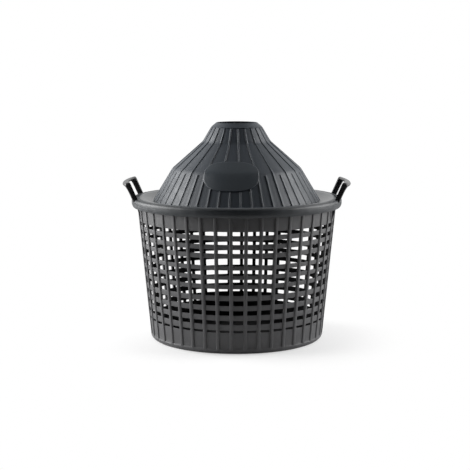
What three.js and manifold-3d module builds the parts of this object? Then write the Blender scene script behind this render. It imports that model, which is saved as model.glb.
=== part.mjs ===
// Demijohn basket: a tapered open basket of ribs and hoops, a cone-shaped lid that lifts off,
// and two strap handles that hook through the rim. Millimetres, +Z up, standing on z = 0.
// The handles are on the X axis. The lattice and the lid, with the bare plaque on its front,
// stand turned by a few degrees from them, as the moulded pattern does.
import * as THREE from 'three';
import { mergeVertices } from 'three/addons/utils/BufferGeometryUtils.js';
import Module from 'manifold-3d';

const wasm = await Module();
wasm.setup();
const { Manifold, Mesh: SolidMesh } = wasm;

// Driving dimensions shared by the mouldings.
const rimRadius = 262;            // outside of the rolled rim
const wallThickness = 3;          // every moulded wall
const clearance = 0.3;            // gap between two separate mouldings

// Basket wall.
const columns = 42;               // ribs, and slots in each row
const latticeTurn = -2.5;         // degrees about Z, first rib against -Y
const wallFootRadius = 213.2;     // outside of the wall, carried down to z = 0
const rimOverhang = 15;           // rim's outer edge beyond the wall under it
const footRound = 12.5;           // rounded edge between floor and wall
const ribWidth = 8;
const ribHeight = 2.5;            // rib's outer face beyond the wall
const slotInset = 0.3;            // step between a rib's side and the slot beside it
const firstSlotHeight = 53.3;     // solid band below the lowest row of slots
const slotHeights = [5.4, 9.8, 11.3, 11.9, 16.3, 12.3, 12.5, 17.8, 10, 10.2, 9.5];
const hoopHeights = [14.3, 13, 12.5, 12.7, 10.5, 10.2, 10.4, 11.5, 11.3, 11.2];
const topBand = 57.1;             // highest row of slots to the rim's top face

// Rim of the basket.
const rimBorder = 13.1;           // raised border outside the recess for the lid
const rimRound = 7.5;             // rounded top edge of the rim
const skirtDrop = 23;             // rim's top face to the skirt's lower edge
const skirtThickness = 2.5;
const skirtCurl = 3.2;            // how far the skirt's lower edge turns in

// Lid, from its brim up to its open neck.
const lidFacets = 48;             // also the ribs on the lower cone
const lidTurn = -4.1;             // degrees about Z, middle of the plaque against -Y
const brimPlay = 0.6;             // brim's edge to the recess
const brimSeat = 8;               // flat edge of the brim, on the basket's ledge
const brimDish = 9;               // how far the brim falls from there to the cone's foot
const coneFootRadius = 207.3;     // lower cone meets the dished brim
const shoulderRadius = 158.9;     // lower cone meets middle cone
const shoulderRise = 70.9;        // above the rim's top face
const collarRadius = 83.3;        // middle cone meets neck cone
const collarRise = 66.4;
const lipFootRadius = 62;         // neck cone meets the bevelled lip
const lipFootRise = 35.7;
const lipBead = 1.5;              // lip's foot beyond the neck cone
const lipRadius = 52;             // top of the lip
const lipRise = 10.4;
const lidRibWidth = 3.4;
const lidRibHeight = 1.8;
const locatorDepth = 8.5;         // ring under the brim, inside the basket's wall
const locatorThickness = 2.5;

// Plaque on the front of the lid.
const plaqueWidth = 131;
const plaqueBelowShoulder = 40.4;
const plaqueAboveShoulder = 25;
const plaqueHeight = 2.4;         // its face above the cone
const plaqueSquareness = 2.7;     // 2 is an ellipse, more is squarer
const plaqueCorners = 28;         // points on its outline

// Handles.
const legSpacing = 152;           // between the middles of a handle's two legs
const legDepth = 12.5;
const legThickness = 7;
const legOffset = 3.5;            // legs' middle outboard of the plates under them
const legSink = 11.8;             // how far a leg's end is below the rim's top face, round its edge
const handleTilt = THREE.MathUtils.degToRad(24);
const handleRise = 53.5;          // along the legs, from their foot to the grip's middle
const handleBow = 10.5;           // the grip's middle outboard of its ends, as the rim curves
const gripWidth = 16;
const gripThickness = 9;
const gripProud = 1;              // grip's ends beyond the legs' sides
const gripOffset = 1.2;           // grip's middle outboard of the legs' middle
const gripRound = 3.5;            // rounded ends of the grip
const gripSteps = 16;             // along the bowed grip
const gripFacets = 14;            // round it
const rootThickness = 5;          // plate that goes through the rim
const rootWidth = 3.4;            // that plate, where it passes the rim
const rootInset = 5.8;            // its middle, inside the rim's outer edge
const rootDrop = 49.5;            // rim's top face to the plate's lower tip

// Heights and radii that follow from them.
const rows = slotRows();
const latticeTop = rows[rows.length - 1].top;
const rimTop = latticeTop + topBand;
const brimUnderside = rimTop - wallThickness;
const ledgeTop = brimUnderside - clearance;
const ledgeUnderside = ledgeTop - wallThickness;
const wallTopRadius = rimRadius - rimOverhang;
const recessRadius = rimRadius - rimBorder;
const flatFactor = Math.cos(Math.PI / columns);   // middle of a facet against its corner
const brimRadius = recessRadius * flatFactor - brimPlay;

// Each row of slots as its lower and upper height. A hoop follows each row but the last.
function slotRows() {
  const list = [];
  let bottom = firstSlotHeight;
  slotHeights.forEach((height, index) => {
    list.push({ bottom, top: bottom + height });
    bottom += height + (hoopHeights[index] ?? 0);
  });
  return list;
}

function wallOutside(z) {
  return THREE.MathUtils.lerp(wallFootRadius, wallTopRadius, z / ledgeUnderside);
}

function wallInside(z) {
  return wallOutside(z) - wallThickness;
}

// Points on an arc, from one angle to the other, as [radius, height] pairs.
function arc(centreRadius, centreHeight, radius, from, to, steps) {
  const points = [];
  for (let i = 0; i <= steps; i += 1) {
    const angle = THREE.MathUtils.degToRad(THREE.MathUtils.lerp(from, to, i / steps));
    points.push([centreRadius + radius * Math.cos(angle), centreHeight + radius * Math.sin(angle)]);
  }
  return points;
}

// A line of [radius, height] points moved sideways: positive is to the right of its direction.
function offsetLine(points, distance) {
  return points.map(([r, z], i) => {
    const before = points[Math.max(i - 1, 0)];
    const after = points[Math.min(i + 1, points.length - 1)];
    const into = new THREE.Vector2(r - before[0], z - before[1]).normalize();
    const out = new THREE.Vector2(after[0] - r, after[1] - z).normalize();
    const along = into.clone().add(out).normalize();
    const reach = distance / (along.dot(i === 0 ? out : into));
    return [r + along.y * reach, z - along.x * reach];
  });
}

// A closed three.js geometry as a solid that can be joined and cut.
function solid(geometry) {
  const bare = geometry.index ? geometry.toNonIndexed() : geometry.clone();
  bare.deleteAttribute('normal');
  bare.deleteAttribute('uv');
  const merged = mergeVertices(bare, 1e-4);
  const index = merged.index.array;
  const corners = [];
  for (let i = 0; i < index.length; i += 3) {
    const [a, b, c] = [index[i], index[i + 1], index[i + 2]];
    if (a !== b && b !== c && c !== a) corners.push(a, b, c);
  }
  const mesh = new SolidMesh({
    numProp: 3,
    vertProperties: new Float32Array(merged.attributes.position.array),
    triVerts: new Uint32Array(corners),
  });
  return new Manifold(mesh);
}

function join(solids) {
  return solids.reduce((whole, next) => whole.add(next));
}

function cut(whole, tools) {
  return tools.reduce((rest, tool) => rest.subtract(tool), whole);
}

// A profile of [radius, height] points turned about the Z axis; corners start at -Y.
function turned(profile, facets) {
  const points = profile.map(([r, z]) => new THREE.Vector2(r, z));
  const open = points[0].x > 0 || points[points.length - 1].x > 0;
  if (open) points.push(points[0].clone());
  return solid(new THREE.LatheGeometry(points, facets).rotateX(Math.PI / 2));
}

// A flat plate standing in a plane through the Z axis, at an angle from -Y towards +X.
function radialPlate(profile, thickness, angle) {
  const shape = new THREE.Shape(profile.map(([r, z]) => new THREE.Vector2(r, z)));
  const plate = new THREE.ExtrudeGeometry(shape, { depth: thickness, bevelEnabled: false });
  plate.translate(0, 0, -thickness / 2);
  plate.rotateX(Math.PI / 2);
  plate.rotateZ(angle - Math.PI / 2);
  return solid(plate);
}

function around(count, make) {
  return Array.from({ length: count }, (unused, i) => make((i * 2 * Math.PI) / count));
}

// Floor, rounded foot, plain wall, ledge for the lid, raised border and skirt in one profile.
function basketShell() {
  const footEdge = wallOutside(footRound) + ribHeight - clearance;
  const footTop = footRound + ribHeight;
  const innerFootRound = footRound - wallThickness;
  const borderUnderside = rimTop - wallThickness;
  const skirtBottom = rimTop - skirtDrop;
  const skirtInside = rimRadius - skirtThickness;
  const innerRimRound = rimRound - wallThickness;
  return turned([
    [0, 0],
    ...arc(footEdge - footRound, footRound, footRound, -90, 0, 3),
    [wallOutside(footTop), footTop],
    [wallOutside(ledgeUnderside), ledgeUnderside],
    [recessRadius + wallThickness / 2, ledgeUnderside],
    [recessRadius + wallThickness, borderUnderside],
    ...arc(skirtInside - innerRimRound, borderUnderside - innerRimRound, innerRimRound, 90, 0, 2),
    [skirtInside - skirtCurl / 2, skirtBottom + skirtCurl],
    [rimRadius - skirtCurl - skirtThickness / 2, skirtBottom],
    [rimRadius - skirtCurl, skirtBottom],
    [rimRadius - skirtCurl / 4, skirtBottom + skirtCurl],
    ...arc(rimRadius - rimRound, rimTop - rimRound, rimRound, 0, 90, 3),
    [recessRadius, rimTop],
    [recessRadius, ledgeTop],
    [wallInside(ledgeTop), ledgeTop],
    ...arc(wallInside(footRound) - innerFootRound, footRound, innerFootRound, 0, -90, 2),
    [0, wallThickness],
  ], columns);
}

// Cutter for one column of slots, at -Y. Each opening widens with the wall.
function slotColumn() {
  const halfWidth = (z) => wallInside(z) * Math.tan(Math.PI / columns) - ribWidth / 2 - slotInset;
  const shapes = rows.map(({ bottom, top }) => new THREE.Shape([
    new THREE.Vector2(-halfWidth(bottom), bottom),
    new THREE.Vector2(halfWidth(bottom), bottom),
    new THREE.Vector2(halfWidth(top), top),
    new THREE.Vector2(-halfWidth(top), top),
  ]));
  const through = new THREE.ExtrudeGeometry(shapes, { depth: rimRadius / 2, bevelEnabled: false });
  return solid(through.translate(0, 0, rimRadius / 2).rotateX(Math.PI / 2));
}

// A rib on the outside of the wall, from the foot to the rim.
function basketRib(angle) {
  const bottom = footRound;
  const top = ledgeUnderside + wallThickness / 2;
  return radialPlate([
    [wallOutside(bottom) - wallThickness / 2, bottom],
    [wallOutside(bottom) + ribHeight, bottom],
    [wallOutside(top) + ribHeight, top],
    [wallOutside(top) - wallThickness / 2, top],
  ], ribWidth, angle);
}

function basket() {
  const pitch = 360 / columns;
  const column = slotColumn();
  const slots = Array.from({ length: columns }, (unused, i) => column.rotate([0, 0, (i + 0.5) * pitch]));
  const roots = [0, Math.PI].flatMap((turn) => [-1, 1].map((side) => rootSlot(side, turn)));
  const lattice = basketShell().subtract(join(slots));
  const ribbed = join([lattice, ...around(columns, basketRib)]);
  return cut(ribbed.rotate([0, 0, latticeTurn]), roots);
}

// Corners of the lid's outside, from the brim's edge up to the lip.
const brimEdge = [brimRadius, rimTop];
const brimBend = [brimRadius - brimSeat, rimTop];
const coneFoot = [coneFootRadius, rimTop - brimDish];
const shoulder = [shoulderRadius, rimTop + shoulderRise];
const collar = [collarRadius, shoulder[1] + collarRise];
const lipFoot = [lipFootRadius, collar[1] + lipFootRise];
const lipEdge = [lipFootRadius + lipBead, lipFoot[1] + lipBead / 2];
const lip = [lipRadius, lipFoot[1] + lipRise];

function lidShell() {
  const slopes = [brimBend, coneFoot, shoulder, collar, lipFoot];
  const inside = offsetLine([brimEdge, ...slopes, lip], -wallThickness);
  const innerLip = inside.pop();
  return turned([
    [brimRadius, rimTop - clearance],
    [brimRadius - clearance, rimTop],
    ...slopes,
    lipEdge,
    lip,
    [lip[0] - wallThickness / 2, lip[1] + wallThickness / 4],
    innerLip,
    ...inside.reverse(),
  ], lidFacets);
}

// Ring under the brim that keeps the lid centred in the basket.
function lidLocator() {
  const outside = wallInside(ledgeTop - locatorDepth) * flatFactor - brimPlay;
  const inside = outside - locatorThickness;
  const overlap = wallThickness / 2;
  return turned([
    [inside, brimUnderside - locatorDepth],
    [outside, brimUnderside - locatorDepth],
    [outside, brimUnderside + overlap],
    [inside, brimUnderside + overlap],
  ], lidFacets);
}

// The point at a distance from one point of a line towards another, or behind it if negative.
function along(from, to, distance) {
  const step = new THREE.Vector2(to[0] - from[0], to[1] - from[1]).setLength(Math.abs(distance));
  const sign = Math.sign(distance);
  return [from[0] + sign * step.x, from[1] + sign * step.y];
}

// A thin strip on the outside of the lid, along a line of its profile.
function lidRib(line, angle) {
  const outer = offsetLine(line, lidRibHeight);
  const inner = offsetLine(line, -wallThickness / 2);
  return radialPlate([...outer, ...inner.reverse()], lidRibWidth, angle);
}

// Bare oval plaque that bends over the shoulder at the front.
function lidPlaque() {
  const low = shoulder[1] - plaqueBelowShoulder;
  const high = shoulder[1] + plaqueAboveShoulder;
  const layer = offsetLine([coneFoot, shoulder, collar], plaqueHeight);
  const root = offsetLine([coneFoot, shoulder, collar], -wallThickness / 2);
  const band = turned([...root.reverse(), ...layer], lidFacets);
  const middle = (low + high) / 2;
  const outline = new THREE.Shape();
  for (let i = 0; i < plaqueCorners; i += 1) {
    const angle = (i * 2 * Math.PI) / plaqueCorners;
    const power = 2 / plaqueSquareness;
    const across = Math.sign(Math.cos(angle)) * Math.abs(Math.cos(angle)) ** power;
    const up = Math.sign(Math.sin(angle)) * Math.abs(Math.sin(angle)) ** power;
    const x = (across * plaqueWidth) / 2;
    const z = middle + (up * (high - low)) / 2;
    if (i === 0) outline.moveTo(x, z);
    else outline.lineTo(x, z);
  }
  const column = new THREE.ExtrudeGeometry(outline, { depth: rimRadius, bevelEnabled: false });
  column.rotateX(Math.PI / 2);
  return band.intersect(solid(column));
}

// Every second rib ends just below the shoulder, one of them in the middle of the front, and the
// others run on into the lip. All of them start in the brim.
function lid() {
  const ribFoot = along(coneFoot, shoulder, -lidRibHeight);
  const shortLine = [ribFoot, along(shoulder, coneFoot, lidRibHeight)];
  const longLine = [ribFoot, shoulder, collar, along(lipFoot, collar, -lipBead / 2)];
  const pitch = (2 * Math.PI) / lidFacets;
  const longRibs = around(lidFacets / 2, (angle) => lidRib(longLine, angle + pitch));
  const shortRibs = around(lidFacets / 2, (angle) => lidRib(shortLine, angle));
  const whole = join([lidShell(), lidLocator(), ...longRibs, ...shortRibs, lidPlaque()]);
  return whole.rotate([0, 0, lidTurn]);
}

// Where the handle's root plates go through the rim, on the +X side.
const rootRadius = rimRadius - rootInset;
const rootX = Math.sqrt(rootRadius ** 2 - (legSpacing / 2) ** 2);
const legFootX = rootX + legOffset - legSink * Math.tan(handleTilt);
const legFootHeight = rimTop - legSink;

function block(low, high) {
  const size = high.map((value, i) => value - low[i]);
  const box = new THREE.BoxGeometry(...size);
  box.translate(...low.map((value, i) => value + size[i] / 2));
  return box;
}

function rootSlot(side, turn) {
  const middle = (side * legSpacing) / 2;
  const halfWidth = rootWidth / 2 + clearance;
  const halfThickness = rootThickness / 2 + clearance;
  const hole = block(
    [rootX - halfWidth, middle - halfThickness, ledgeUnderside - rimRound],
    [rootX + halfWidth, middle + halfThickness, rimTop + rimRound],
  );
  return solid(hole.rotateZ(turn));
}

// A leg in the handle's own plane: across is X, up is Y and depth is Z.
function handleLeg(side) {
  const leg = new THREE.BoxGeometry(legThickness, handleRise, legDepth);
  return leg.translate((side * legSpacing) / 2, handleRise / 2, 0);
}

// Oval grip with rounded ends, in the same plane and still straight.
function handleGrip() {
  const half = (legSpacing + legThickness) / 2 + gripProud;
  const straight = half - gripRound;
  const endShare = 1 - gripRound / gripThickness;
  const profile = [new THREE.Vector2(0, -half), new THREE.Vector2(endShare, -half)];
  for (let i = 0; i <= gripSteps; i += 1) {
    profile.push(new THREE.Vector2(1, THREE.MathUtils.lerp(-straight, straight, i / gripSteps)));
  }
  profile.push(new THREE.Vector2(endShare, half), new THREE.Vector2(0, half));
  const bar = new THREE.LatheGeometry(profile, gripFacets);
  bar.rotateZ(Math.PI / 2);
  bar.scale(1, gripThickness / 2, gripWidth / 2);
  return bar.translate(0, handleRise, gripOffset);
}

// From that plane to its place: across becomes Y, up leans outboard and depth becomes X.
// Then it is bowed outboard, most in its middle.
function placed(geometry) {
  const frame = new THREE.Matrix4().makeBasis(
    new THREE.Vector3(0, 1, 0),
    new THREE.Vector3(Math.sin(handleTilt), 0, Math.cos(handleTilt)),
    new THREE.Vector3(Math.cos(handleTilt), 0, -Math.sin(handleTilt)),
  );
  geometry.applyMatrix4(frame.setPosition(legFootX, 0, legFootHeight));
  const points = geometry.attributes.position;
  for (let i = 0; i < points.count; i += 1) {
    const share = (2 * points.getY(i)) / legSpacing;
    points.setX(i, points.getX(i) + handleBow * (1 - share ** 2));
  }
  return solid(geometry);
}

// Plate under a leg: it goes through the rim, hooks under the border and lies against the ribs.
function handleRoot(side) {
  const middle = (side * legSpacing) / 2;
  const edge = Math.abs(middle) - rootThickness / 2;
  const ribFace = (z) => wallOutside(z) + ribHeight + clearance;
  const againstRibs = (z) => Math.sqrt(ribFace(z) ** 2 - edge ** 2);
  const outer = rootX + rootWidth / 2;
  const inner = rootX - rootWidth / 2;
  const tip = rimTop - rootDrop;
  const shape = new THREE.Shape([
    [inner, rimTop + wallThickness],
    [inner, ledgeUnderside - clearance],
    [againstRibs(ledgeUnderside), ledgeUnderside - clearance],
    [againstRibs(tip), tip],
    [outer, rimTop - rimRound],
    [outer, rimTop + wallThickness],
  ].map(([x, z]) => new THREE.Vector2(x, z)));
  const plate = new THREE.ExtrudeGeometry(shape, { depth: rootThickness, bevelEnabled: false });
  plate.rotateX(Math.PI / 2);
  plate.translate(0, middle + rootThickness / 2, 0);
  return solid(plate);
}

function handle(turn) {
  const rimSpace = turned([
    [0, 0],
    [rimRadius + clearance, 0],
    ...arc(rimRadius - rimRound, rimTop - rimRound, rimRound + clearance, 0, 90, 3),
    [0, rimTop + clearance],
  ], columns).rotate([0, 0, latticeTurn]);
  const strap = join([handleLeg(-1), handleLeg(1), handleGrip()].map(placed)).subtract(rimSpace);
  const whole = join([strap, handleRoot(-1), handleRoot(1)]);
  return whole.rotate([0, 0, THREE.MathUtils.radToDeg(turn)]);
}

// A finished solid as a named mesh with its plastic.
function moulding(name, whole, look) {
  const { vertProperties, triVerts, numProp } = whole.getMesh();
  const geometry = new THREE.BufferGeometry();
  const positions = new Float32Array((vertProperties.length / numProp) * 3);
  for (let i = 0; i < positions.length / 3; i += 1) {
    positions.set(vertProperties.subarray(i * numProp, i * numProp + 3), i * 3);
  }
  geometry.setAttribute('position', new THREE.BufferAttribute(positions, 3));
  geometry.setIndex(new THREE.BufferAttribute(new Uint32Array(triVerts), 1));
  geometry.computeVertexNormals();
  const mesh = new THREE.Mesh(geometry, new THREE.MeshStandardMaterial(look));
  mesh.name = name;
  return mesh;
}

const basketPlastic = { color: 0x47484a, roughness: 0.5, metalness: 0 };
const lidPlastic = { color: 0x3a4045, roughness: 0.4, metalness: 0 };
const handlePlastic = { color: 0x1d1d1f, roughness: 0.35, metalness: 0 };

const demijohnBasket = new THREE.Group();
demijohnBasket.add(moulding('basket', basket(), basketPlastic));
demijohnBasket.add(moulding('lid', lid(), lidPlastic));
demijohnBasket.add(moulding('right_handle', handle(0), handlePlastic));
demijohnBasket.add(moulding('left_handle', handle(Math.PI), handlePlastic));

export default demijohnBasket;
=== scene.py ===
"""A demijohn basket: a lattice basket with a rolled rim, a cone-shaped lid and two strap handles.

Lengths are millimetres in the sections below and become metres where a mesh is made.
"""
import math

import bmesh
import bpy
import numpy as np
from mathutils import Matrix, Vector


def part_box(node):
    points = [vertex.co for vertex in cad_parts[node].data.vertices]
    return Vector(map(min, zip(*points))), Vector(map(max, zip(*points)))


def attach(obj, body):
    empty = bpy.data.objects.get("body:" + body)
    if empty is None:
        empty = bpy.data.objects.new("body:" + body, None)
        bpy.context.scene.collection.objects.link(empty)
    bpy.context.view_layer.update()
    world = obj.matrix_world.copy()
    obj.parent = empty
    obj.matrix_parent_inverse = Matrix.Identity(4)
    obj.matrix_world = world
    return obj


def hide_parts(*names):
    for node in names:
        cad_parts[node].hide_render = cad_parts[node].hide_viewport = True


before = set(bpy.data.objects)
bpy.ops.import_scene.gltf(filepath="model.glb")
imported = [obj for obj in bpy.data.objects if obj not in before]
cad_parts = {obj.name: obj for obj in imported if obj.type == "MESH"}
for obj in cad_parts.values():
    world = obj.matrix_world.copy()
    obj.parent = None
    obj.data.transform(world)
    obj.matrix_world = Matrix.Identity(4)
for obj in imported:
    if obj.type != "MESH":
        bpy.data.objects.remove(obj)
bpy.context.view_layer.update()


# Camera: a long lens a little above the rim, fitted to the photograph.
# The basket stands turned by a degree, so the camera is just beside the handles' cross plane.
camera_distance = 3216.3            # along the floor, from the basket's axis
camera_height = 716
camera_turn = math.radians(0.8)
aim_height = 257
focal_length_px = 1293
photo_width_px = 470
basket_axis_px = 236.7              # from the left edge of the photograph
mm = 0.001                          # one millimetre in metres

camera_data = bpy.data.cameras.new("photo_camera")
camera_data.lens = camera_data.sensor_width * focal_length_px / photo_width_px
camera_data.shift_x = (photo_width_px / 2 - basket_axis_px) / photo_width_px
camera = bpy.data.objects.new("photo_camera", camera_data)
camera.location = mm * Vector((
    camera_distance * math.sin(camera_turn),
    -camera_distance * math.cos(camera_turn),
    camera_height,
))
sight = Vector((0, 0, aim_height * mm)) - camera.location
camera.rotation_euler = sight.to_track_quat("-Z", "Y").to_euler()
bpy.context.scene.collection.objects.link(camera)
bpy.context.scene.camera = camera
bpy.context.scene.view_settings.view_transform = "Standard"


# Studio: a pale painted floor that ends below the picture, a large soft box at each side and a
# weak one overhead, in a room that is dark ahead and bright behind. The floor and the room look
# white to the camera, but for the shadow close to the basket.
floor_size = 16000
floor_paint = "d0d0d0"
floor_front = 1000                  # the pale floor ends this far ahead of the basket's axis
floor_fade = 500                    # and darkens over this length
dark_floor = "101010"
seen_paint = "b9b9b9"               # the floor as the camera sees it, under its even glow
floor_glow = 0.445
shadow_near = 235                   # from the basket's axis: the shadow shows fully up to here
shadow_far = 440                    # and not beyond here
room_ahead = 0.02                   # brightness of the room ahead of the basket
room_behind = 0.95
room_change = (-0.1, 0.6)           # where it changes, from 0 at the sides to 1 straight behind
white = "ffffff"


def linear(colour):
    """An sRGB colour such as "7a7c80" as linear red, green, blue and alpha."""
    values = np.array([int(colour[i:i + 2], 16) for i in (0, 2, 4)]) / 255
    low, high = values / 12.92, ((values + 0.055) / 1.055) ** 2.4
    return (*np.where(values <= 0.04045, low, high), 1.0)


def add_node(tree, kind, sockets=None, **settings):
    """A node of that kind, with its settings; a socket takes a value or another node's output.

    A socket is given by its name, or by its number where the node has several of one name: a
    Mix node takes colours at 6 and 7 and gives one at 2, and takes numbers at 2 and 3.
    """
    node = tree.nodes.new(kind)
    for name, value in settings.items():
        setattr(node, name, value)
    for socket, value in (sockets or {}).items():
        if isinstance(value, bpy.types.NodeSocket):
            tree.links.new(value, node.inputs[socket])
        else:
            node.inputs[socket].default_value = value
    return node


def new_material(name):
    """A material with an empty node tree, and that tree."""
    material = bpy.data.materials.new(name)
    material.use_nodes = True
    material.node_tree.nodes.clear()
    return material, material.node_tree


floor_mesh = bpy.data.meshes.new("floor")
edge = floor_size * mm / 2
floor_mesh.from_pydata(
    [(-edge, -edge, 0), (edge, -edge, 0), (edge, edge, 0), (-edge, edge, 0)], [], [(0, 1, 2, 3)]
)
floor = bpy.data.objects.new("floor", floor_mesh)
bpy.context.scene.collection.objects.link(floor)

floor_material, tree = new_material("painted_studio_floor")
seen = add_node(tree, "ShaderNodeLightPath").outputs["Is Camera Ray"]
place = add_node(tree, "ShaderNodeTexCoord").outputs["Object"]
spot = add_node(tree, "ShaderNodeSeparateXYZ", {0: place})
pale = add_node(
    tree, "ShaderNodeMapRange",
    {"Value": spot.outputs["Y"], "From Min": -floor_front * mm,
     "From Max": (floor_fade - floor_front) * mm},
)
lit = add_node(
    tree, "ShaderNodeMix",
    {0: pale.outputs[0], 6: linear(dark_floor), 7: linear(floor_paint)}, data_type="RGBA",
)
colour = add_node(
    tree, "ShaderNodeMix", {0: seen, 6: lit.outputs[2], 7: linear(seen_paint)},
    data_type="RGBA",
)
paint = add_node(tree, "ShaderNodeBsdfDiffuse", {"Color": colour.outputs[2]})
strength = add_node(tree, "ShaderNodeMath", {0: seen, 1: floor_glow}, operation="MULTIPLY")
glow = add_node(
    tree, "ShaderNodeEmission", {"Color": linear(white), "Strength": strength.outputs[0]}
)
near = add_node(tree, "ShaderNodeAddShader", {0: paint.outputs[0], 1: glow.outputs[0]})
far = add_node(tree, "ShaderNodeEmission", {"Color": linear(white), "Strength": 1.0})
distance = add_node(tree, "ShaderNodeVectorMath", {0: place}, operation="LENGTH")
beyond = add_node(
    tree, "ShaderNodeMapRange",
    {"Value": distance.outputs["Value"], "From Min": shadow_near * mm,
     "From Max": shadow_far * mm, "To Max": seen},
    interpolation_type="SMOOTHSTEP",
)
both = add_node(
    tree, "ShaderNodeMixShader", {0: beyond.outputs[0], 1: near.outputs[0], 2: far.outputs[0]}
)
add_node(tree, "ShaderNodeOutputMaterial", {"Surface": both.outputs[0]})
floor_mesh.materials.append(floor_material)

world = bpy.data.worlds.new("studio_room")
world.use_nodes = True
tree = world.node_tree
tree.nodes.clear()
direction = add_node(tree, "ShaderNodeTexCoord")
parts = add_node(tree, "ShaderNodeSeparateXYZ", {0: direction.outputs["Generated"]})
brightness = add_node(
    tree, "ShaderNodeMapRange",
    {"Value": parts.outputs["Y"], "From Min": room_change[0], "From Max": room_change[1],
     "To Min": room_ahead, "To Max": room_behind},
    interpolation_type="SMOOTHSTEP",
)
room = add_node(
    tree, "ShaderNodeBackground", {"Color": linear(white), "Strength": brightness.outputs[0]}
)
backdrop = add_node(tree, "ShaderNodeBackground", {"Color": linear(white), "Strength": 1.0})
seen = add_node(tree, "ShaderNodeLightPath").outputs["Is Camera Ray"]
both = add_node(
    tree, "ShaderNodeMixShader", {0: seen, 1: room.outputs[0], 2: backdrop.outputs[0]}
)
add_node(tree, "ShaderNodeOutputWorld", {"Surface": both.outputs[0]})
bpy.context.scene.world = world


def soft_box(name, place, target_height, width, height, watts):
    """A rectangular area lamp that faces a point on the basket's axis."""
    lamp = bpy.data.lights.new(name, "AREA")
    lamp.shape = "RECTANGLE"
    lamp.size = width * mm
    lamp.size_y = height * mm
    lamp.energy = watts
    holder = bpy.data.objects.new(name, lamp)
    holder.location = mm * Vector(place)
    aim = mm * Vector((0, 0, target_height)) - holder.location
    holder.rotation_euler = aim.to_track_quat("-Z", "Y").to_euler()
    bpy.context.scene.collection.objects.link(holder)


soft_box("left_box", (-2100, 250, 1020), target_height=300, width=2200, height=1700, watts=102)
soft_box("right_box", (2100, 250, 1080), target_height=300, width=1800, height=1700, watts=66)
soft_box("top_box", (0, -1000, 2700), target_height=350, width=1400, height=1400, watts=3)


# Basket: the open lattice that carries the glass, with its floor, rolled rim and turned-down
# skirt. It is one injection moulding of dark grey polypropylene, with draft on every rib.
rim_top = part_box("basket")[1].z / mm
rim_radius = 262
wall = 3.0
clearance = 0.3
columns = 42
lattice_turn = math.radians(-2.5)   # first rib against -Y
wall_foot_radius = 213.2            # outside of the wall, carried down to the floor
rim_overhang = 15
foot_round = 12.5
first_slot = 53.3                   # solid band below the lowest row of slots
slot_heights = np.array([5.4, 9.8, 11.3, 11.9, 16.3, 12.3, 12.5, 17.8, 10.0, 10.2, 9.5])
hoop_heights = np.array([14.3, 13.0, 12.5, 12.7, 10.5, 10.2, 10.4, 11.5, 11.3, 11.2])
rim_border = 13.1
rim_round = 7.5
skirt_drop = 23
skirt_wall = 2.5
skirt_curl = 3.2
rib_height = 2.5
rib_crown = 1.9                     # half of the rib's flat face
rib_shoulder = 3.5                  # from its middle to where its rounded edge ends
rib_shoulder_height = 0.8           # as a share of the rib's height
rib_foot = 4.3                      # half of its width at the wall, and the slot's side
corner_round = 1.3                  # corners of the slots
edge_round = 0.7                    # rounded edges of the slots
sharp_edge = math.radians(58)       # edges that turn by more than this stay crisp
same_spot = 1e-6                    # metres

ledge_top = rim_top - wall - clearance
ledge_under = ledge_top - wall
wall_top_radius = rim_radius - rim_overhang
recess_radius = rim_radius - rim_border


def arc(centre, radius, start, end, steps):
    """Points on a circle in the radius-height plane, between two angles in degrees."""
    turn = np.radians(np.linspace(start, end, steps + 1))
    return np.stack([centre[0] + radius * np.cos(turn), centre[1] + radius * np.sin(turn)], 1)


def wall_outside(height):
    """Outside radius of the plain wall: a straight cone that widens upwards."""
    return wall_foot_radius + (wall_top_radius - wall_foot_radius) * height / ledge_under


def slot_rows():
    """Lower and upper height of every row: a slot and the hoop above it, again and again."""
    bottoms = first_slot + np.concatenate([[0], np.cumsum(slot_heights[:-1] + hoop_heights)])
    return bottoms, bottoms + slot_heights


def closed_mesh(name, points, faces):
    """A smooth-shaded mesh in metres; doubled points are merged and its faces point out."""
    mesh = bpy.data.meshes.new(name)
    mesh.from_pydata(points * mm, [], faces)
    work = bmesh.new()
    work.from_mesh(mesh)
    bmesh.ops.remove_doubles(work, verts=work.verts, dist=same_spot)
    bmesh.ops.recalc_face_normals(work, faces=work.faces)
    work.to_mesh(mesh)
    work.free()
    mesh.shade_smooth()
    mesh.set_sharp_from_angle(angle=sharp_edge)
    return mesh


def new_piece(name, mesh, material, body, slot, *replaced):
    """The mesh as a piece of that body, with even shading, standing for the named nodes."""
    piece = bpy.data.objects.new(name, mesh)
    bpy.context.scene.collection.objects.link(piece)
    mesh.materials.append(material)
    normals = piece.modifiers.new("even_shading", "WEIGHTED_NORMAL")
    normals.keep_sharp = True
    normals.weight = 80
    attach(piece, body)
    if replaced:
        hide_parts(*replaced)


def wrap_faces(rings, count):
    """Quads of a closed grid: ring after ring, and round each ring back to its start."""
    ring, step = np.meshgrid(np.arange(rings - 1), np.arange(count), indexing="ij")
    after = (step + 1) % count
    corners = [ring * count + step, ring * count + after]
    corners += [(ring + 1) * count + after, (ring + 1) * count + step]
    return np.stack(corners, -1)


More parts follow.
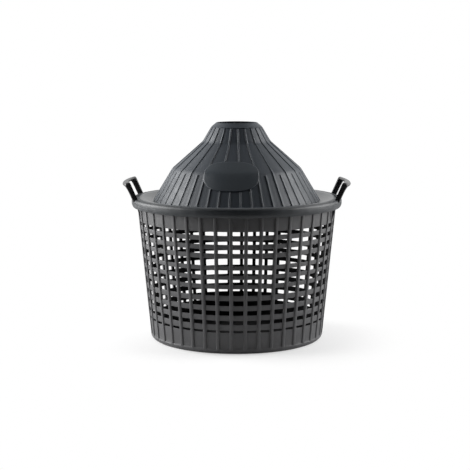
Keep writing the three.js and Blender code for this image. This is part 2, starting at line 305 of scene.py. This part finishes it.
def basket_profile():
    """Rings of the basket in order: under the floor, up the outside, over the rim, down inside.

    The wall is a straight cone, and the foot, the skirt's edge and the rim's edges are arcs.
    Each ring is a radius and a height, with the share of the rib's height that stands on it.
    Also gives the ring at the foot of every slot outside, and inside.
    """
    bottoms, tops = slot_rows()
    foot = wall_outside(foot_round) + rib_height - clearance
    foot_arc = arc((foot - foot_round, foot_round), foot_round, -90, 0, 7)
    under = np.vstack([[[0, 0], [foot / 2, 0]], foot_arc])

    lows = bottoms[:, None] + np.array([-edge_round, 0, corner_round])
    highs = tops[:, None] + np.array([-corner_round, 0, edge_round])
    rows = np.hstack([lows, highs])
    below = [foot_round + rib_height, first_slot / 2]
    above = [(tops[-1] + ledge_under) / 2, ledge_under]
    heights = np.concatenate([below, rows.ravel(), above])
    outside = np.stack([wall_outside(heights), heights], 1)

    skirt_low = rim_top - skirt_drop
    skirt_inside = rim_radius - skirt_wall
    border_under = rim_top - wall
    inner_round = rim_round - wall
    tip = skirt_wall / 2
    rim = np.vstack([
        [[recess_radius + wall / 2, ledge_under], [recess_radius + wall, border_under]],
        arc((skirt_inside - inner_round, border_under - inner_round), inner_round, 90, 0, 4),
        [[skirt_inside - skirt_curl / 2, skirt_low + skirt_curl]],
        arc((rim_radius - skirt_curl - tip, skirt_low + tip), tip, 200, 350, 4),
        [[rim_radius - skirt_curl / 3, skirt_low + skirt_curl + tip]],
        [[rim_radius, skirt_low + 3 * skirt_curl]],
        arc((rim_radius - rim_round, rim_top - rim_round), rim_round, 0, 90, 9),
        arc((recess_radius + edge_round, rim_top - edge_round), edge_round, 90, 180, 2),
        [[recess_radius, ledge_top]],
        [[wall_outside(ledge_top) - wall + edge_round, ledge_top]],
    ])

    inner_rows = np.hstack([lows[:, 1:], highs[:, :2]])[::-1, ::-1]
    heights = np.concatenate([[ledge_top - edge_round], inner_rows.ravel(), [first_slot / 2]])
    inside = np.stack([wall_outside(heights) - wall, heights], 1)
    inner_foot = foot_round - wall
    inner_centre = (wall_outside(foot_round) - wall - inner_foot, foot_round)
    floor_rings = np.vstack([
        arc(inner_centre, inner_foot, 0, -90, 5), [[foot / 2, wall], [0, wall]]
    ])
    rings = np.vstack([under, outside, rim, inside, floor_rings])
    ribbed = np.zeros(len(rings))
    ribbed[len(under):len(under) + len(outside)] = 1

    row = np.arange(len(bottoms))
    first_outside = len(under) + len(below) + 1 + rows.shape[1] * row
    first_inside = len(under) + len(outside) + len(rim) + 1 + inner_rows.shape[1] * row
    return rings, ribbed, first_outside, first_inside[::-1]


def basket_shape():
    """The basket as one grid: rings of a closed profile, crossed by nine lines to a column.

    A point's place round the axis is its column's angle plus its distance from the rib's middle
    divided by the ring's radius, so ribs keep their width as the wall widens. The cells inside
    each slot are left out, and a band of quads joins the slot's outline outside to the same
    outline inside.
    """
    rings, ribbed, first_outside, first_inside = basket_profile()
    # Each line by its distance from the middle of its rib, or of the gap or rib after it.
    offsets = np.array([-rib_crown, rib_crown, rib_shoulder, rib_foot, rib_foot + corner_round,
                        0, -rib_foot - corner_round, -rib_foot, -rib_shoulder])
    share = np.array([0, 0, 0, 0, 0, 0.5, 1, 1, 1])
    raised = np.array([1, 1, rib_shoulder_height, 0, 0, 0, 0, 0, rib_shoulder_height])
    slot_start, slot_end = 3, 7         # the lines at the two sides of a slot
    lines = len(offsets)
    count = columns * lines
    first_line = np.arange(columns) * lines
    pitch = 2 * np.pi / columns
    radius = rings[:, :1] + ribbed[:, None] * np.tile(raised * rib_height, columns)
    # Towards the axis the lines draw together, so that they never cross.
    spread = np.maximum(rings[:, :1], wall_foot_radius / 2)
    angle = (np.repeat(np.arange(columns), lines) + np.tile(share, columns)) * pitch
    angle = angle + np.tile(offsets, columns) / spread + lattice_turn
    height = np.broadcast_to(rings[:, 1:], radius.shape).copy()

    # A slot has four rings, 0 to 3: its foot, the ends of its rounded corners, and its top.
    slot_lines = (first_line[:, None] + np.arange(slot_start, slot_end + 1)).ravel()
    slot_sides = (first_line[:, None] + [slot_start, slot_end]).ravel()
    ends = np.concatenate([first_outside, first_outside + 3])
    middles = np.concatenate([first_outside + 1, first_outside + 2])
    radius[np.ix_(ends, slot_lines)] -= edge_round
    radius[np.ix_(middles, slot_sides)] -= edge_round
    # The corners of a slot's outline are pulled in on the diagonal, which rounds them.
    pull = corner_round * (1 - math.sqrt(0.5))
    for first, upward in ((first_outside, 1), (first_inside, -1)):
        for ring, lift in ((first, pull * upward), (first + 3, -pull * upward)):
            for side, push in ((slot_start, pull), (slot_end, -pull)):
                corner = np.ix_(ring, first_line + side)
                height[corner] += lift
                angle[corner] += push / wall_top_radius

    points = np.stack([radius * np.sin(angle), -radius * np.cos(angle), height], -1)
    faces = wrap_faces(len(rings), count)
    keep = np.ones(faces.shape[:2], bool)
    cells = (first_line[:, None] + np.arange(slot_start, slot_end)).ravel()
    for first in (first_outside, first_inside):
        ring = (first[:, None] + np.arange(3)).ravel()
        keep[np.ix_(ring, cells)] = False

    # Round a slot's outline: along its foot, up, back along its top, and down.
    step_on = slot_start + np.array([0, 1, 2, 3, 4, 4, 4, 4, 3, 2, 1, 0, 0, 0])
    step_up = np.array([0, 0, 0, 0, 0, 1, 2, 3, 3, 3, 3, 3, 2, 1])
    on = first_line[:, None] + step_on
    outer = (first_outside[:, None, None] + step_up) * count + on
    inner = (first_inside[:, None, None] + 3 - step_up) * count + on
    tunnels = np.stack([outer, inner, np.roll(inner, -1, -1), np.roll(outer, -1, -1)], -1)
    all_faces = np.vstack([faces[keep].reshape(-1, 4), tunnels.reshape(-1, 4)])
    return points.reshape(-1, 3), all_faces


flow_size = 45                      # of the broad flow marks that the melt leaves
flow_gloss = 0.06                   # how far they change the roughness, up or down
flow_range = (0.3, 0.7)             # between which the noise for them mostly lies
grain_depth = 0.25
plastic_ior = 1.49                  # polypropylene's, and nylon's is close to it
finish_fade = 2                     # two finishes run into each other over this length


def moulded_plastic(name, colour, flow_colour, rough, grain, grain_size):
    """Injection-moulded plastic, in one colour with broad, faint flow marks.

    The mould's spark-eroded grain breaks up its satin gloss. The grain's size is drawn coarser
    than the real one, which is under half a millimetre, so that it shows.
    """
    material, tree = new_material(name)
    place = add_node(tree, "ShaderNodeTexCoord").outputs["Object"]
    flow = add_node(
        tree, "ShaderNodeTexNoise",
        {"Vector": place, "Scale": 1 / (flow_size * mm), "Detail": 3.0, "Distortion": 0.6},
    )
    fine = add_node(
        tree, "ShaderNodeTexNoise",
        {"Vector": place, "Scale": 1 / (grain_size * mm), "Detail": 2.0, "Roughness": 0.6},
    )
    shade = add_node(
        tree, "ShaderNodeMix",
        {0: flow.outputs["Fac"], 6: linear(colour), 7: linear(flow_colour)},
        data_type="RGBA",
    )
    gloss = add_node(
        tree, "ShaderNodeMapRange",
        {"Value": flow.outputs["Fac"], "From Min": flow_range[0], "From Max": flow_range[1],
         "To Min": rough - flow_gloss, "To Max": rough + flow_gloss},
    )
    bump = add_node(
        tree, "ShaderNodeBump",
        {"Height": fine.outputs["Fac"], "Strength": grain, "Distance": grain_depth * mm},
    )
    plastic = add_node(
        tree, "ShaderNodeBsdfPrincipled",
        {"Base Color": shade.outputs[2], "Roughness": gloss.outputs[0], "IOR": plastic_ior,
         "Normal": bump.outputs[0]},
    )
    add_node(tree, "ShaderNodeOutputMaterial", {"Surface": plastic.outputs[0]})
    return material


def height_above_floor(tree):
    """A point's height, in metres, as a node's output."""
    place = add_node(tree, "ShaderNodeTexCoord").outputs["Object"]
    return add_node(tree, "ShaderNodeSeparateXYZ", {0: place}).outputs["Z"]


def distance_from_axis(tree):
    """A point's distance from the upright axis, in metres, as a node's output."""
    place = add_node(tree, "ShaderNodeTexCoord").outputs["Object"]
    level = add_node(
        tree, "ShaderNodeVectorMath", {0: place, 1: (1, 1, 0)}, operation="MULTIPLY"
    )
    away = add_node(tree, "ShaderNodeVectorMath", {0: level.outputs[0]}, operation="LENGTH")
    return away.outputs["Value"]


def finish_and_painted_tone(material, measure, start, end, colour, rough):
    """Another roughness, and another colour that is painted light and shade, which come in from
    one height or radius to the other.
    """
    tree = material.node_tree
    plastic = tree.nodes["Principled BSDF"]
    past = add_node(
        tree, "ShaderNodeMapRange",
        {"Value": measure(tree), "From Min": start * mm, "From Max": end * mm},
    )
    shade = plastic.inputs["Base Color"].links[0].from_socket
    gloss = plastic.inputs["Roughness"].links[0].from_socket
    mixed = add_node(
        tree, "ShaderNodeMix", {0: past.outputs[0], 6: shade, 7: linear(colour)},
        data_type="RGBA",
    )
    rougher = add_node(tree, "ShaderNodeMix", {0: past.outputs[0], 2: gloss, 3: rough})
    tree.links.new(mixed.outputs[2], plastic.inputs["Base Color"])
    tree.links.new(rougher.outputs[0], plastic.inputs["Roughness"])


def matt_inside_painted_shade(material, colour, rough, gloss):
    """The core side of the wall and floor: matt, and painted darker as shade.

    A point is inside by its distance from the axis, less the wall's widening up to its height.
    """
    tree = material.node_tree
    plastic = tree.nodes["Principled BSDF"]
    widening = (wall_top_radius - wall_foot_radius) / ledge_under
    at_foot = add_node(
        tree, "ShaderNodeMath",
        {0: height_above_floor(tree), 1: -widening, 2: distance_from_axis(tree)},
        operation="MULTIPLY_ADD",
    )
    inside = add_node(
        tree, "ShaderNodeMapRange",
        {"Value": at_foot.outputs[0], "From Min": (wall_foot_radius - wall) * mm,
         "From Max": (wall_foot_radius - wall / 3) * mm, "To Min": 1.0, "To Max": 0.0},
    )
    shaded_core = add_node(
        tree, "ShaderNodeBsdfPrincipled",
        {"Base Color": linear(colour), "Roughness": rough, "Specular IOR Level": gloss,
         "Normal": plastic.inputs["Normal"].links[0].from_socket},
    )
    both = add_node(
        tree, "ShaderNodeMixShader",
        {0: inside.outputs[0], 1: plastic.outputs[0], 2: shaded_core.outputs[0]},
    )
    tree.links.new(both.outputs[0], tree.nodes["Material Output"].inputs["Surface"])


# Moulded polypropylene: satin dark grey outside. The rim and skirt are painted darker and bluer
# as painted shade and reflection, and the inside is matt and painted near black as shade.
basket_plastic = moulded_plastic(
    "moulded_polypropylene_basket", "4f4f50", "464648", rough=0.5, grain=0.5, grain_size=1.4
)
skirt_edge = rim_top - skirt_drop
# The rim and skirt take a darker, bluer colour: painted shade and reflection.
finish_and_painted_tone(
    basket_plastic, height_above_floor, skirt_edge - finish_fade, skirt_edge,
    "23272b", rough=0.48,
)
# The inside is painted near black as painted shade.
matt_inside_painted_shade(basket_plastic, "151516", rough=0.85, gloss=0.15)
new_piece(
    "basket_moulding", closed_mesh("basket_moulding", *basket_shape()), basket_plastic,
    "basket_body", "basket_plastic", "basket",
)


# Lid: a cone in three slopes with a bevelled lip round its open neck, stiffened by thin ribs.
# It is one polypropylene moulding, smoother than the basket, that rests loose in the rim.
lid_ribs = 48                       # on the lower cone; every second one runs on to the lip
lid_turn = math.radians(-4.1)       # first rib, in the middle of the plaque, against -Y
brim_play = 1.3
brim_seat = 8                       # flat edge of the brim, on the basket's ledge
brim_dish = 9                       # how far the brim falls from there to the cone's foot
cone_foot = np.array([207.3, rim_top - brim_dish])
foot_cove = 2.0                     # small hollow curve between brim and cone, along each
shoulder = np.array([158.9, rim_top + 70.9])
collar = np.array([83.3, rim_top + 137.3])
lip_foot = np.array([62.0, rim_top + 173.0])
lip_bead = 1.5
lip = np.array([52.0, rim_top + 183.4])
lip_dip = 0.4                       # its round edge is centred this far below that corner
rib_stop = 0.04                     # long ribs end this share of the neck short of its top
cone_wall = 1.35 * wall             # the wall measured level, where the lower cones lean
neck_wall = 1.17 * wall             # at the steeper neck
foot_wall = 0.6 * wall              # and at the cone's foot, a wall's thickness lower
lid_rib_height = 1.6
lid_rib_crown = 0.8                 # half of a rib's flat face
lid_rib_shoulder = 1.5              # from its middle to where its rounded edge ends
lid_rib_shoulder_height = 0.72      # as a share of the rib's height
lid_rib_foot = 2.2
locator_depth = 8.5                 # ring under the brim, inside the basket's wall
locator_wall = 2.5
soft_edge = 0.8                     # of the brim, the ring and the bead
bend_length = 5                     # length of the rounded bends, along each cone
plaque_width = 131
plaque_below = 40.4                 # below and above the shoulder
plaque_above = 25
plaque_height = 2.4
plaque_squareness = 2.7             # 2 is an ellipse, more is squarer
plaque_hides = 0.8                  # ribs stop this far out under the plaque, its edge being 1


def bend(before, corner, after, length, steps=4):
    """A parabola that leaves one straight run and joins the next, that far from their corner."""
    start = corner + (before - corner) * length / np.linalg.norm(before - corner)
    end = corner + (after - corner) * length / np.linalg.norm(after - corner)
    t = np.linspace(0, 1, steps + 1)[:, None]
    return (1 - t) ** 2 * start + 2 * t * (1 - t) * corner + t ** 2 * end


def run(start, end, steps):
    """Points spaced evenly between two points, without those two."""
    t = np.linspace(0, 1, steps + 2)[1:-1, None]
    return start + (end - start) * t


def lid_profile():
    """Rings of the lid in order: brim's edge, up the outside, over the lip and down inside.

    The slopes are straight runs joined by parabolas, and the lip ends in an arc. Each ring is a
    radius and a height, with the share of its height that a short rib and a long rib have
    there. A short rib ends below the shoulder.
    """
    brim_radius = recess_radius - brim_play
    brim_under = rim_top - wall
    brim_bend = np.array([brim_radius - brim_seat, rim_top])
    cove = bend(brim_bend, cone_foot, shoulder, foot_cove)
    up = (shoulder - cone_foot) / np.linalg.norm(shoulder - cone_foot)
    rib_end = shoulder - up * (bend_length + lid_rib_height)
    neck_end = lip_foot + (collar - lip_foot) * rib_stop
    shoulder_curve = bend(cone_foot, shoulder, collar, bend_length)
    collar_curve = bend(shoulder, collar, lip_foot, bend_length)
    bead = lip_foot + [lip_bead, lip_bead / 2]
    lip_arc = arc(lip + [-wall / 2, -lip_dip], wall / 2, 20, 160, 4)
    locator_out = wall_outside(ledge_top - locator_depth) - wall - brim_play
    locator_in = locator_out - locator_wall
    locator_low = brim_under - locator_depth
    locator = np.array([
        [locator_in, brim_under],
        [locator_in, locator_low + soft_edge],
        [locator_in + soft_edge, locator_low],
        [locator_out - soft_edge, locator_low],
        [locator_out, locator_low + soft_edge],
        [locator_out, brim_under],
    ])
    brim_edge = [
        [brim_radius - soft_edge, brim_under],
        [brim_radius, brim_under + soft_edge],
        [brim_radius, rim_top - soft_edge],
        [brim_radius - soft_edge, rim_top],
    ]
    inside = [
        lip_foot - [neck_wall, 0], collar - [cone_wall, 0], shoulder - [cone_wall, 0],
        cone_foot - [foot_wall, wall],
    ]
    parts = [
        (brim_edge, 0, 0),
        (bend([brim_radius, rim_top], brim_bend, cone_foot, brim_seat / 2), 0, 0),
        (cove[:2], 0, 0),
        (cove[2:], 1, 1),
        (run(cove[-1], rib_end, 10), 1, 1),
        ([rib_end], 1, 1),
        ([rib_end + up * lid_rib_height / 2], 0, 1),
        (shoulder_curve, 0, 1),
        (run(shoulder_curve[-1], collar_curve[0], 12), 0, 1),
        (collar_curve, 0, 1),
        (run(collar_curve[-1], neck_end, 3), 0, 1),
        ([neck_end], 0, 1),
        ([lip_foot], 0, 0),
        (bend(lip_foot, bead, lip, soft_edge, 2), 0, 0),
        (run(bead, lip, 2), 0, 0),
        (lip_arc, 0, 0),
        (inside, 0, 0),
        (locator, 0, 0),
    ]
    rings = np.vstack([points for points, short, long in parts])
    shares = [(short, long) for points, short, long in parts for point in points]
    return rings, np.array(shares, float)


def plaque_reach(across, height):
    """How far out a point is on the plaque's outline: 1 on it, less inside, more outside.

    The outline is a superellipse: the two half-width shares, each raised to its squareness, add
    up to 1 on it.
    """
    middle = shoulder[1] + (plaque_above - plaque_below) / 2
    half_height = (plaque_above + plaque_below) / 2
    sides = np.abs(across / (plaque_width / 2)) ** plaque_squareness
    return sides + np.abs((height - middle) / half_height) ** plaque_squareness


def lid_shape():
    """The lid as one grid: rings of a closed profile, crossed by nine lines to a rib.

    A point lies on its ring, moved out along the profile's normal by the rib's height there.
    Ribs keep their width, as the basket's do, and stop under the plaque.
    """
    rings, shares = lid_profile()
    offsets = np.array([-lid_rib_crown, lid_rib_crown, lid_rib_shoulder, lid_rib_foot,
                        0, 0, 0, -lid_rib_foot, -lid_rib_shoulder])
    share = np.array([0, 0, 0, 0, 1 / 3, 1 / 2, 2 / 3, 1, 1])
    edge = lid_rib_shoulder_height
    raised = np.array([1, 1, edge, 0, 0, 0, 0, 0, edge]) * lid_rib_height
    lines = len(offsets)
    rib_number = np.repeat(np.arange(lid_ribs), lines) + np.tile(share, lid_ribs)
    long_rib = rib_number.round().astype(int) % 2 == 1
    along = np.roll(rings, -1, 0) - np.roll(rings, 1, 0)
    out = np.stack([along[:, 1], -along[:, 0]], 1) / np.linalg.norm(along, axis=1)[:, None]
    angle = rib_number * 2 * np.pi / lid_ribs + np.tile(offsets, lid_ribs) / rings[:, :1]
    lift = np.tile(raised, lid_ribs) * np.where(long_rib, shares[:, 1:], shares[:, :1])
    hidden = plaque_reach(rings[:, :1] * np.sin(angle), rings[:, 1:]) < plaque_hides
    lift[hidden & (np.cos(angle) > 0)] = 0
    radius = rings[:, :1] + lift * out[:, :1]
    height = rings[:, 1:] + lift * out[:, 1:]
    angle = angle + lid_turn
    points = np.stack([radius * np.sin(angle), -radius * np.cos(angle), height], -1)
    faces = wrap_faces(len(rings) + 1, lid_ribs * lines).reshape(-1, 4) % points[..., 0].size
    return points.reshape(-1, 3), faces


def squared(wave, power):
    """A cosine or sine raised to that power with its sign kept: the two draw a superellipse."""
    return np.sign(wave) * np.abs(wave) ** power


def plaque_shape():
    """The bare plaque: its outline drawn in from edge to middle, on the bent face of two cones.

    The cones' radius is two straight lines of height, blended by a hyperbola at the shoulder.
    The outline grows out below the lid's face, steps up at its edge and shrinks to the middle.
    """
    turns = 144                         # points round the outline
    blend = 4.0                         # how gently the two cones meet under the plaque
    sunk = -0.8                         # the back of the plaque, in the lid's wall
    edge_lift = [1.7, 2.2]              # heights on its rounded edge
    mean_reach = plaque_width / 3       # between its half-width and its half-height
    edge_in = np.array([0, 0.3, 1.0]) / mean_reach
    grown = np.linspace(0, 1, 9)
    shrunk = np.linspace(0.96, 0, 24)
    scale = np.concatenate([grown, 1 - edge_in, shrunk])
    top = np.full(len(shrunk) + 1, plaque_height)
    lift = np.concatenate([np.full(len(grown), sunk), edge_lift, top])
    turn = np.arange(turns) * 2 * np.pi / turns
    power = 2 / plaque_squareness
    side = squared(np.cos(turn), power) * plaque_width / 2
    rise = squared(np.sin(turn), power)
    across = scale[:, None] * side
    middle = (plaque_above - plaque_below) / 2
    above = middle + scale[:, None] * rise * (plaque_above + plaque_below) / 2
    lower = (shoulder[0] - cone_foot[0]) / (shoulder[1] - cone_foot[1])
    upper = (collar[0] - shoulder[0]) / (collar[1] - shoulder[1])
    mean, half = (lower + upper) / 2, (upper - lower) / 2
    root = np.hypot(above, blend)
    radius = shoulder[0] + mean * above + half * root
    slope = mean + half * above / root
    out = 1 / np.hypot(1, slope)
    reach = lift[:, None] * out
    back = np.sqrt(radius ** 2 - across ** 2)
    x = across * (1 + reach / radius)
    y = -back * (1 + reach / radius)
    z = shoulder[1] + above - reach * slope
    cos, sin = math.cos(lid_turn), math.sin(lid_turn)
    points = np.stack([x * cos - y * sin, x * sin + y * cos, z], -1)
    return points.reshape(-1, 3), wrap_faces(len(scale), turns).reshape(-1, 4)


# Moulded polypropylene, a bluish dark grey: satin on the cone, and glossier on the brim, which is
# also painted lighter as a painted sheen.
lid_plastic = moulded_plastic(
    "moulded_polypropylene_lid", "2c333b", "252c34", rough=0.5, grain=0.35, grain_size=1.1
)
# The brim is painted lighter than the cone: a painted sheen.
finish_and_painted_tone(
    lid_plastic, distance_from_axis, cone_foot[0], cone_foot[0] + finish_fade,
    "3a4045", rough=0.3,
)
new_piece(
    "lid_moulding", closed_mesh("lid_moulding", *lid_shape()), lid_plastic,
    "lid_body", "lid_plastic", "lid",
)

# The plaque is of the same moulding, with a finer grain, so its sheen is even.
plaque_plastic = moulded_plastic(
    "moulded_polypropylene_plaque", "333a40", "2e343a", rough=0.42, grain=0.3, grain_size=0.9
)
new_piece(
    "lid_plaque", closed_mesh("lid_plaque", *plaque_shape()), plaque_plastic,
    "lid_body", "lid_plastic",
)


# Handles: two stiff straps with a fat oval grip, each moulded in one piece of black nylon.
# Plates under their legs pass through slots in the rim and hook beneath it.
leg_spacing = 152                   # between the middles of a handle's two legs
leg_depth = 12.5
leg_thickness = 7
leg_squareness = 5.5                # of its section: 2 is an ellipse, more is squarer
leg_offset = 3.5                    # legs' middle outboard of the plates under them
leg_sink = 11.8
handle_tilt = math.radians(24)
handle_rise = 53.5                  # along the legs, from their foot to the grip's middle
handle_bow = 10.5                   # the grip's middle outboard of its ends, as the rim curves
corner_radius = 5.5                 # middle line, where leg meets grip
corner_swell = 2.0                  # how much fuller than that round the outer corner is
grip_start = 12                     # the bar's first station inboard of the legs
grip_width = 16
grip_thickness = 9
grip_squareness = 2.2
grip_offset = 1.2                   # grip's middle outboard of the legs' middle
root_thickness = 5
root_width = 3.4
root_inset = 5.8
root_drop = 49.5
root_x = math.sqrt((rim_radius - root_inset) ** 2 - (leg_spacing / 2) ** 2)
leg_foot_x = root_x + leg_offset - leg_sink * math.tan(handle_tilt)
leg_foot = np.array([leg_foot_x, 0, rim_top - leg_sink])
strap_up = np.array([math.sin(handle_tilt), 0, math.cos(handle_tilt)])
strap_out = np.array([math.cos(handle_tilt), 0, -math.sin(handle_tilt)])
strap_across = np.array([0, 1, 0])


def handle_path():
    """Half of the handle's middle line, from one foot to the middle of the grip.

    It is a straight leg, a quarter circle and a straight bar. Each station has its place across
    and up, the angle of its direction, and how much of the grip's section it has.
    """
    side = leg_spacing / 2
    straight = handle_rise - corner_radius
    steps = np.array([0, 0.12, 0.3, 0.5, 0.68, 0.8, 0.9, 1])
    heights = leg_sink + (straight - leg_sink) * steps
    stations = len(steps)
    leg = np.stack([np.full(stations, -side), heights, np.full(stations, math.pi / 2)], 1)
    turn = np.radians(np.linspace(90, 0, 9))[1:]
    bent = np.stack([
        -side + corner_radius * (1 - np.sin(turn)),
        handle_rise - corner_radius * (1 - np.cos(turn)),
        turn,
    ], 1)
    bar_across = np.linspace(grip_start - side, 0, 7)
    bar = np.stack([
        bar_across, np.full(len(bar_across), handle_rise), np.zeros(len(bar_across))
    ], 1)
    up_the_leg = [0, 0, 0, 0, 0.05, 0.15, 0.3, 0.45]
    round_the_bend = np.linspace(0.55, 1, len(bent))
    grip_share = np.concatenate([up_the_leg, round_the_bend, np.ones(len(bar))])
    return np.column_stack([np.vstack([leg, bent, bar]), grip_share])


def handle_strap():
    """The strap as a section carried along its middle line, a rounded oblong that becomes an oval.

    The section is a superellipse. The strap is bowed outwards as a parabola, and the last ring
    at each foot slides along the leg until it lies on the rim.
    """
    half = handle_path()
    other = half[-2::-1] * [-1, 1, -1, 1]
    path = np.vstack([half, other])
    count = 32                          # points round the section
    turn = np.arange(count) * 2 * np.pi / count
    blend = path[:, 3:]
    power = 2 / (leg_squareness + (grip_squareness - leg_squareness) * blend)
    thick = (leg_thickness + (grip_thickness - leg_thickness) * blend) / 2
    wide = (leg_depth + (grip_width - leg_depth) * blend) / 2
    out = squared(np.cos(turn), power) * thick
    out = out + corner_swell * np.sin(2 * path[:, 2:3]) ** 2 * (out / thick + 1) / 2
    deep = squared(np.sin(turn), power) * wide + grip_offset * blend
    across = path[:, :1] - out * np.sin(path[:, 2:3])
    up = path[:, 1:2] + out * np.cos(path[:, 2:3])
    points = leg_foot + across[..., None] * strap_across + up[..., None] * strap_up
    points = points + deep[..., None] * strap_out
    points[..., 0] += handle_bow * (1 - (2 * points[..., 1] / leg_spacing) ** 2)
    for foot in (0, -1):
        # The slide's range is halved until each point lies on the rim's top or rounded edge.
        low, high = np.full(count, -leg_sink), np.full(count, leg_sink / 2)
        for halving in range(16):
            slide = (low + high) / 2
            spot = points[foot] + slide[:, None] * strap_up
            over = np.hypot(spot[:, 0], spot[:, 1]) - (rim_radius - rim_round)
            fall = rim_round - np.sqrt(rim_round ** 2 - np.clip(over, 0, rim_round) ** 2)
            sunk = spot[:, 2] < rim_top + clearance - fall
            low, high = np.where(sunk, slide, low), np.where(sunk, high, slide)
        points[foot] += high[:, None] * strap_up
    feet = [tuple(range(count)), tuple(range(len(path) * count - count, len(path) * count))]
    faces = wrap_faces(len(path), count).reshape(-1, 4).tolist()
    return points.reshape(-1, 3), faces + feet


def root_plate(side):
    """The plate under one leg: an outline in the plane across the rim, given its thickness."""
    middle = side * leg_spacing / 2
    edge = abs(middle) - root_thickness / 2
    tip = rim_top - root_drop
    inner, outer = root_x - root_width / 2, root_x + root_width / 2
    rib_face = np.array([wall_outside(ledge_under), wall_outside(tip)]) + rib_height + clearance
    near_wall = np.sqrt(rib_face ** 2 - edge ** 2)
    outline = np.array([
        [inner, rim_top + wall], [inner, ledge_under - clearance],
        [near_wall[0], ledge_under - clearance], [near_wall[1], tip],
        [outer, rim_top - rim_round], [outer, rim_top + wall],
    ])
    count = len(outline)
    points = np.zeros((2, count, 3))
    points[:, :, [0, 2]] = outline
    points[:, :, 1] = middle + np.array([[-1], [1]]) * root_thickness / 2
    faces = wrap_faces(2, count).reshape(-1, 4).tolist()
    return points.reshape(-1, 3), faces + [tuple(range(count)), tuple(range(count, 2 * count))]


def handle_shape(turned_round):
    """Strap and two root plates, for the +X side or turned half round for the -X side."""
    all_points, all_faces = [], []
    start = 0
    for points, faces in (handle_strap(), root_plate(-1), root_plate(1)):
        all_points.append(points)
        all_faces += [tuple(corner + start for corner in face) for face in faces]
        start += len(points)
    points = np.vstack(all_points)
    return points * [-1, -1, 1] if turned_round else points, all_faces


# Moulded nylon: black and smoother than the basket, so the grips take a soft shine.
handle_plastic = moulded_plastic(
    "moulded_nylon_handle", "232324", "1d1d1e", rough=0.32, grain=0.25, grain_size=0.8
)
for side, turned_round in (("right", False), ("left", True)):
    name = side + "_strap_handle"
    new_piece(
        name, closed_mesh(name, *handle_shape(turned_round)), handle_plastic,
        "basket_body", "handle_plastic", side + "_handle",
    )
